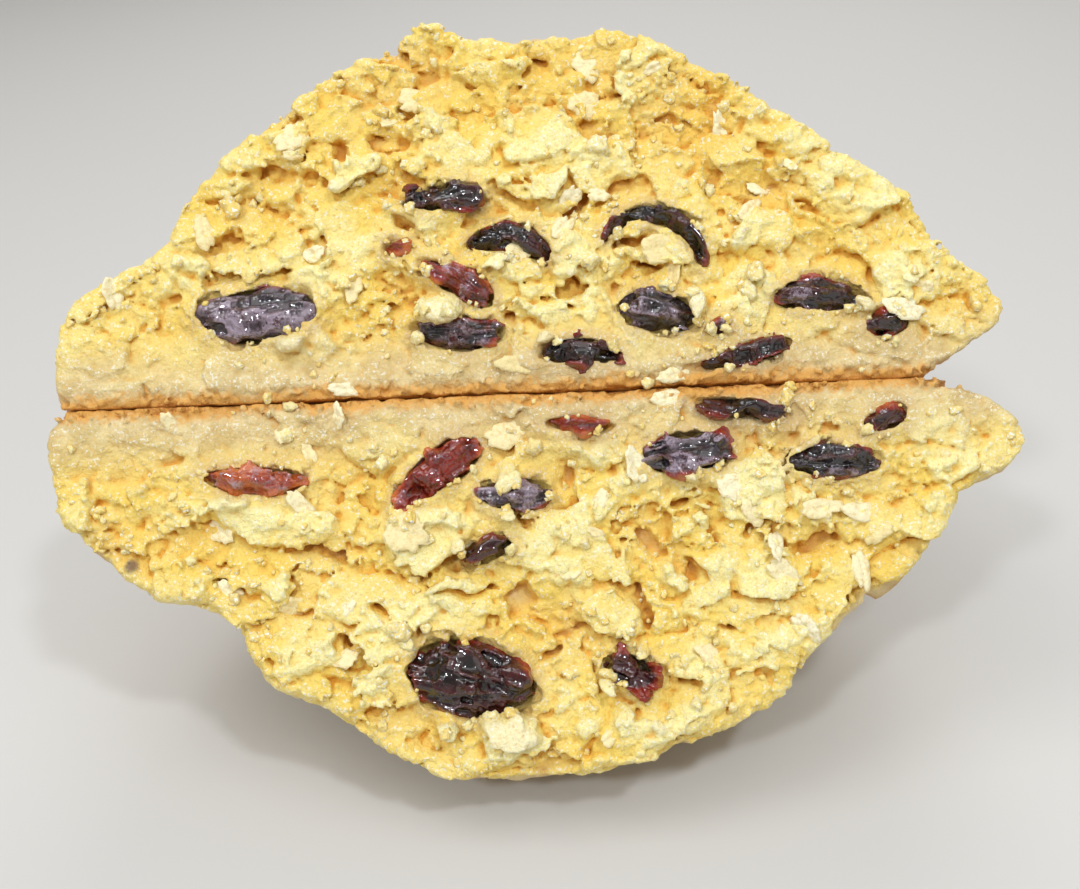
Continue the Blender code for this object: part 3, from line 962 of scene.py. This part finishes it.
def raisin_front(across, rise, raisins):
    """How deep the front of a raisin lies at a place in the face, or None where there is none."""
    for raisin in raisins:
        place = np.array([(across, 0.0, rise)], np.float32)
        flat = raisin_distance(raisin, place)[1][0]
        width, thickness, sunk = raisin_size(raisin)
        if flat < 0:
            share = min(1.0, -2 * flat / width)
            return sunk - thickness / 2 * math.sqrt(1 - (1 - share) ** 2)
    return None


def lay_crumbs(surfaces):
    generator = np.random.default_rng(43)
    shapes = []
    for side in (1, -1):
        surface = surfaces[side]
        clustered = 0.15 + smooth_step(-0.1, 0.6, cloud(surface.local.astype(np.float32), 7.0, 950))
        chances = surface.areas * surface.open * clustered
        picks = generator.choice(len(chances), LOOSE_CRUMBS // 2, p=chances / chances.sum())
        raisins = UPPER_RAISINS if side > 0 else LOWER_RAISINS
        for pick in picks:
            size = min(2.2, 0.45 + generator.exponential(0.4))
            across, _, rise = surface.local[pick]
            shape, triangles = crumb_shape(size, int(size > 0.7), generator)
            if rise < 0.3 + size / 2 or not clear_of_raisins(across, rise, raisins, size / 3):
                continue
            if not surface.within(across, rise):
                continue
            place = surface.middles[pick] + surface.normals[pick] * MM * size * 0.1
            shapes.append((place + shape * MM, triangles, [], generator.uniform(0, 1)))
        wanted = [noted[1:] for noted in NOTED_CRUMBS if noted[0] == side]
        for raisin in raisins:
            spine_x, spine_y, heading, share, _ = raisin_spine(raisin)
            for _ in range(RIM_CRUMBS):
                spot = generator.integers(len(spine_x))
                outline = generator.choice((-1, 1))
                edge = outline * (share[spot] * raisin.width / 2 - generator.uniform(-0.3, 0.4))
                across = spine_x[spot] - edge * math.sin(heading[spot])
                rise = spine_y[spot] + edge * math.cos(heading[spot])
                wanted.append((across, rise, min(1.3, 0.4 + generator.exponential(0.3))))
        for across, rise, size in wanted:
            shape, triangles = crumb_shape(size, int(size > 0.7), generator)
            depth = raisin_front(across, rise, raisins)
            if depth is None:
                depth = surface.height_at(across, rise)
            if depth is None:
                continue
            place = to_world(np.array([(across, depth - 0.15 * size, rise)]), side)
            shapes.append((place + shape * MM, triangles, [], generator.uniform(0, 1)))
    return join_shapes("loose_crumbs", shapes)


# ---------------------------------------------------------------- materials

def linear(red, green, blue):
    """A colour given as it looks on screen, 0 to 255, as the numbers a shader takes."""
    shown = np.array((red, green, blue)) / 255
    value = np.where(shown <= 0.04045, shown / 12.92, ((shown + 0.055) / 1.055) ** 2.4)
    return tuple(value) + (1.0,)


class Value:
    """What a node gives at each point; numbers and other values can be added, or multiply it."""

    def __init__(self, graph, socket):
        self.graph = graph
        self.socket = socket

    def __add__(self, other):
        return self.graph.calculate("ADD", self, other)

    def __mul__(self, other):
        return self.graph.calculate("MULTIPLY", self, other)


class Graph:
    """Shorthand for building a material's nodes; colours are given as they look on screen, 0 to 255."""

    def __init__(self, name):
        self.material = bpy.data.materials.new(name)
        self.material.use_nodes = True
        self.nodes = self.material.node_tree.nodes
        self.links = self.material.node_tree.links
        self.shader = self.nodes["Principled BSDF"]
        self.place = Value(self, self.nodes.new("ShaderNodeTexCoord").outputs["Object"])

    def fill(self, socket, value):
        """Sets a socket to a number or a colour, or links it to what another node gives."""
        if isinstance(value, Value):
            self.links.new(value.socket, socket)
        elif isinstance(value, tuple):
            socket.default_value = linear(*value)
        else:
            socket.default_value = value

    def node(self, kind, output, **inputs):
        """Makes a node and fills its inputs; gives the node and what one of its outputs gives."""
        made = self.nodes.new(kind)
        for name, value in inputs.items():
            self.fill(made.inputs[name.replace("_", " ")], value)
        return made, Value(self, made.outputs[output])

    def attribute(self, name):
        made, value = self.node("ShaderNodeAttribute", "Fac")
        made.attribute_name = name
        return value

    def noise(self, millimetres, detail=2.0, roughness=0.5, distortion=0.0):
        return self.node("ShaderNodeTexNoise", "Fac", Scale=1 / (millimetres * MM), Detail=detail,
                         Roughness=roughness, Distortion=distortion, Vector=self.place)[1]

    def grains(self, millimetres):
        return self.node("ShaderNodeTexVoronoi", "Distance", Scale=1 / (millimetres * MM),
                         Vector=self.place)[1]

    def spread(self, value, low, high, to_low=0.0, to_high=1.0):
        """Maps low to high smoothly onto to_low to to_high."""
        made, mapped = self.node("ShaderNodeMapRange", "Result", Value=value, From_Min=low, From_Max=high,
                                 To_Min=to_low, To_Max=to_high)
        made.interpolation_type = "SMOOTHSTEP"
        return mapped

    def calculate(self, operation, first, second):
        made, value = self.node("ShaderNodeMath", "Value")
        made.operation = operation
        self.fill(made.inputs[0], first)
        self.fill(made.inputs[1], second)
        return value

    def mix(self, share, first, second):
        """The first colour where share is 0 and the second where it is 1."""
        made = self.nodes.new("ShaderNodeMix")
        made.data_type = "RGBA"
        self.fill(made.inputs["Factor"], share)
        for name, value in (("A", first), ("B", second)):
            self.fill([one for one in made.inputs if one.name == name and one.type == "RGBA"][0], value)
        return Value(self, [one for one in made.outputs if one.type == "RGBA"][0])

    def tint(self, share, colour):
        """Lays a colour over the one so far, as strongly as share says."""
        self.colour = self.mix(share, self.colour, colour)

    def bump(self, height, strength, millimetres):
        return self.node("ShaderNodeBump", "Normal", Strength=strength, Distance=millimetres * MM,
                         Height=height)[1]

    def set(self, name, value):
        self.fill(self.shader.inputs[name], value)


def crumb_grains(graph):
    """Bump of packed fine crumbs; also gives a mask of the low places between them, where the materials
    paint shade.
    """
    fine = graph.noise(0.34, 3.0, 0.75)
    height = graph.grains(0.55) * -0.55 + fine * 1.5
    graph.set("Normal", graph.bump(height, 0.7, 0.3))
    return graph.spread(fine, 0.5, 0.36)


def crumb_material():
    graph = Graph("crumb")
    names = ("raised", "hollow_fine", "hollow_broad", "deep", "rise", "stain", "oat", "tip")
    raised, fine, broad, deep, rise, stain, oat, tip = [graph.attribute(name) for name in names]
    blotch = graph.noise(5.0, 2.0)
    speck = graph.noise(0.3, 1.0)
    patch = graph.noise(1.7, 3.0, 0.6, 0.4)
    gap_shade = crumb_grains(graph)

    graph.colour = graph.mix(graph.spread(blotch, 0.35, 0.65), (248, 215, 104), (250, 224, 132))
    # Painted highlight: paler on what stands out. Painted shade: deeper yellow in what lies low.
    graph.tint(graph.spread(raised + patch * 1.2, 0.4, 1.4), (253, 240, 168))
    graph.tint(graph.spread(raised, 0.9, 1.7, 0.0, 0.6), (254, 243, 204))
    graph.tint(graph.spread(raised, -0.2, -1.6) * 0.7, (241, 195, 86))
    # Moist and dense near the base.
    moist = graph.spread(rise + blotch * 8.0, 12.5, 5.5)
    dense = graph.mix(graph.spread(patch, 0.35, 0.65), (204, 178, 130), (230, 208, 160))
    graph.tint(moist * 0.85, dense)
    # Painted shade in the low places between grains, in crevices and in pits; flecks of spice; sugar
    # specks that are partly painted glints; and stains beside raisins.
    graph.tint(gap_shade * 0.35, (230, 174, 66))
    graph.tint(graph.spread(fine, 0.56, 0.76) * 0.75, (228, 156, 34))
    graph.tint(graph.spread(broad, 0.62, 0.86) * 0.75, (184, 108, 24))
    graph.tint(graph.spread(graph.noise(0.9, 2.0), 0.66, 0.74) * 0.5, (222, 164, 76))
    # White sugar specks, partly painted glints, kept out of the hollows.
    sugar_and_glint = graph.spread(speck, 0.58, 0.66) * graph.spread(fine, 0.55, 0.45)
    graph.tint(sugar_and_glint * 0.6, (255, 254, 240))
    graph.tint(stain * graph.spread(patch, 0.3, 0.65) * 0.55, (200, 160, 108))
    # The ragged browned edge along the base, burnt darker right at the seam.
    edge = rise + graph.noise(1.2, 3.0, 0.7) * -3.2 + graph.noise(7.0, 1.0) * 1.6 + speck * -0.8
    graph.tint(graph.spread(edge, 0.5, -0.6) * 0.85, (230, 166, 72))
    graph.tint(graph.spread(edge, -0.9, -1.5) * 0.7, (172, 98, 30))

    # The crust behind, with paler oats, painted shade in its crevices, and a darker edge near its base.
    baked = graph.mix(graph.spread(blotch, 0.35, 0.7), (234, 207, 148), (214, 170, 102))
    baked = graph.mix(graph.spread(broad, 0.42, 0.2), baked, (204, 150, 82))
    baked = graph.mix(oat * 0.5, baked, (246, 228, 182))
    # Painted shade in the crust's crevices.
    baked = graph.mix(graph.spread(fine, 0.6, 0.8), baked, (176, 120, 56))
    base_near = graph.spread(rise + blotch * -5.0, 4.0, -1.5)
    baked = graph.mix(base_near * 0.85, baked, (178, 122, 62))
    crust = graph.spread(deep + patch * 2.0, 3.2, 4.6)
    graph.tint(crust, baked)
    graph.tint(tip * 0.8, (92, 62, 70))
    graph.set("Base Color", graph.colour)
    graph.set("Roughness", graph.spread(speck, 0.4, 0.65, 0.75, 0.35))
    graph.set("Specular IOR Level", 0.4)
    return graph.material


def raisin_material():
    graph = Graph("raisin")
    fold, rim, amber, bloom = [graph.attribute(name) for name in ("fold", "rim", "amber", "bloom")]
    patch = graph.noise(1.6, 3.0, 0.6, 0.5)
    fine = graph.noise(0.26, 3.0, 0.65)

    # Painted shade: the dark red-black skin is darker down in its folds and lighter on its ridges.
    graph.colour = graph.mix(graph.spread(fold, -0.3, 0.35), (14, 2, 3), (74, 18, 20))
    # The raisin's own amber and red patches, with a painted glow of light through its thin rims.
    thin = rim * 0.6 + patch * 0.9 + amber
    graph.tint(graph.spread(thin, 0.85, 1.35) * 0.95, (158, 40, 16))
    graph.tint(graph.spread(thin, 1.25, 1.7) * 0.85, (222, 116, 56))
    # Pale bloom, and specks on the ridges that are partly painted glints, kept off the rims.
    bloom_and_glint_spots = bloom * 0.8 + fine + graph.noise(1.5, 2.0) * 1.3
    bloom_and_crest_glint = graph.spread(bloom_and_glint_spots, 1.5, 1.85) * graph.spread(fold, -0.2, 0.25, 0.1, 0.8)
    bloom_and_crest_glint = bloom_and_crest_glint * graph.spread(rim, 0.3, 0.9, 1.0, 0.25)
    graph.tint(bloom_and_crest_glint, (186, 168, 184))
    graph.set("Base Color", graph.colour)
    graph.set("Roughness", graph.spread(fine, 0.3, 0.7, 0.25, 0.5))
    graph.set("Specular IOR Level", 0.1)
    graph.set("Coat Weight", 1.0)
    graph.set("Coat Roughness", 0.06)
    graph.set("Coat IOR", 1.7)
    wet = graph.noise(1.0, 1.0, 0.5, 0.6)
    graph.set("Coat Normal", graph.bump(wet, 0.5, 0.12))
    height = wet + fine * 0.8
    graph.set("Normal", graph.bump(height, 1.0, 0.5))
    return graph.material


def flake_material():
    graph = Graph("oat")
    shade = graph.attribute("shade")
    streak = graph.noise(0.5, 3.0, 0.6)
    graph.colour = graph.mix(shade, (252, 243, 206), (242, 222, 160))
    graph.tint(graph.spread(streak, 0.5, 0.66, 0.0, 0.7), (230, 200, 130))
    graph.set("Base Color", graph.colour)
    graph.set("Roughness", graph.spread(streak, 0.3, 0.7, 0.5, 0.75))
    graph.set("Normal", graph.bump(graph.noise(0.3, 3.0, 0.6), 0.9, 0.2))
    return graph.material


def loose_material():
    graph = Graph("loose_crumb")
    shade = graph.attribute("shade")
    speck = graph.noise(0.3, 1.0)
    gap_shade = crumb_grains(graph)
    graph.colour = graph.mix(shade, (250, 218, 120), (253, 239, 174))
    # Painted shade in the low places between grains.
    graph.tint(gap_shade * 0.35, (230, 174, 66))
    # White sugar specks, partly painted glints.
    graph.tint(graph.spread(speck, 0.58, 0.66), (255, 254, 240))
    graph.set("Base Color", graph.colour)
    graph.set("Roughness", graph.spread(speck, 0.4, 0.65, 0.75, 0.35))
    return graph.material


# ---------------------------------------------------------------- the scene

def build():
    crumb = crumb_material()
    raisin_look = raisin_material()
    upper = grow_crumb("upper_crumb", "cookie_upper_half", 1, UPPER_RAISINS,
                       UPPER_HOLLOWS, UPPER_PLATES, UPPER_COVERS, 100)
    lower = grow_crumb("lower_crumb", "cookie_lower_half", -1, LOWER_RAISINS,
                       LOWER_HOLLOWS, LOWER_PLATES, LOWER_COVERS, 500)
    for piece, node in ((upper, "cookie_upper_half"), (lower, "cookie_lower_half")):
        piece.data.materials.append(crumb)
        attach(piece, "root")
        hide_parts(node)
    halves = (("upper", 1, UPPER_RAISINS, UPPER_LOOKS), ("lower", -1, LOWER_RAISINS, LOWER_LOOKS))
    for word, side, raisins, looks in halves:
        for number, (raisin, look) in enumerate(zip(raisins, looks), 1):
            node = f"raisin_{word}_{number:02d}"
            seed = 2000 + 20 * number + (500 if side < 0 else 0)
            piece = grow_raisin(f"raisin_skin_{word}_{number:02d}", node, raisin, look, side, seed)
            piece.data.materials.append(raisin_look)
    surfaces = {1: Surface(upper, 1), -1: Surface(lower, -1)}
    lay_flakes(surfaces).data.materials.append(flake_material())
    lay_crumbs(surfaces).data.materials.append(loose_material())


def sweep_floor(flat, rise):
    """A round floor, flat for a while and then sweeping up at its edge, in metres."""
    around, steps = 96, 16
    points = [(0.0, 0.0, 0.0)]
    for step in range(steps + 1):
        bend = step / steps * math.pi / 2
        radius = flat + rise * math.sin(bend)
        height = rise * (1 - math.cos(bend))
        for corner in range(around):
            angle = 2 * math.pi * corner / around
            points.append((radius * math.cos(angle), radius * math.sin(angle), height))
    triangles = [(0, 1 + corner, 1 + (corner + 1) % around) for corner in range(around)]
    quads = []
    for step in range(steps):
        for corner in range(around):
            a = 1 + step * around + corner
            b = 1 + step * around + (corner + 1) % around
            quads.append((a, a + around, b + around, b))
    mesh = bpy.data.meshes.new("floor")
    mesh.from_pydata(points, [], triangles + quads)
    mesh.shade_smooth()
    floor = bpy.data.objects.new("floor", mesh)
    bpy.context.scene.collection.objects.link(floor)
    return floor


def set_stage():
    floor = sweep_floor(0.9, 0.9)
    graph = Graph("floor")
    graph.set("Base Color", (203.4, 201.1, 197.3))
    graph.set("Roughness", 0.7)
    floor.data.materials.append(graph.material)

    world = bpy.data.worlds.new("soft_room")
    world.use_nodes = True
    world.node_tree.nodes["Background"].inputs["Color"].default_value = (1.0, 0.99, 0.97, 1)
    world.node_tree.nodes["Background"].inputs["Strength"].default_value = 0.45
    bpy.context.scene.world = world

    def area(name, place, size, energy, colour=(1.0, 1.0, 1.0)):
        light = bpy.data.lights.new(name, "AREA")
        light.size = size
        light.energy = energy
        light.color = colour
        holder = bpy.data.objects.new(name, light)
        holder.location = place
        holder.rotation_euler = (Vector(SEAM) - Vector(place)).to_track_quat("-Z", "Y").to_euler()
        bpy.context.scene.collection.objects.link(holder)

    area("key", (-0.26, -0.06, 0.50), 0.24, 0.6)
    area("overhead", (0.0, -0.16, 0.62), 0.5, 0.8)
    area("fill", (0.40, -0.40, 0.30), 0.4, 0.3)
    area("back", (0.1, 0.5, 0.45), 0.4, 1.3)
    area("window_left", (-0.17, -0.34, 0.36), 0.04, 0.75, (0.86, 0.93, 1.0))
    area("window_right", (0.15, -0.24, 0.44), 0.04, 0.65, (0.86, 0.93, 1.0))
    bpy.context.scene.view_settings.view_transform = "Standard"


def set_camera():
    """Looks down on the broken faces, close up, at the angle that a phone would be held."""
    elevation = math.radians(30)
    roll = math.radians(2.3)
    away = 0.121
    # How far to the right of the middle of the view and above it the seam lies, per metre away.
    seam_right = -0.005833
    seam_up = 0.044583
    camera = bpy.data.cameras.new("camera")
    camera.sensor_width = 36.0
    camera.lens = 40.0
    camera.clip_start = 0.005
    holder = bpy.data.objects.new("camera", camera)
    bpy.context.scene.collection.objects.link(holder)
    forward = Vector((0, math.cos(elevation), -math.sin(elevation)))
    level = Vector((1, 0, 0))
    plumb = level.cross(forward)
    right = level * math.cos(roll) - plumb * math.sin(roll)
    up = plumb * math.cos(roll) + level * math.sin(roll)
    place = Vector(SEAM) - (forward + right * seam_right + up * seam_up) * away
    turn = Matrix((right, up, -forward)).transposed()
    holder.matrix_world = Matrix.Translation(place) @ turn.to_4x4()
    bpy.context.scene.camera = holder


ROUND = round_shapes()
build()
set_stage()
set_camera()
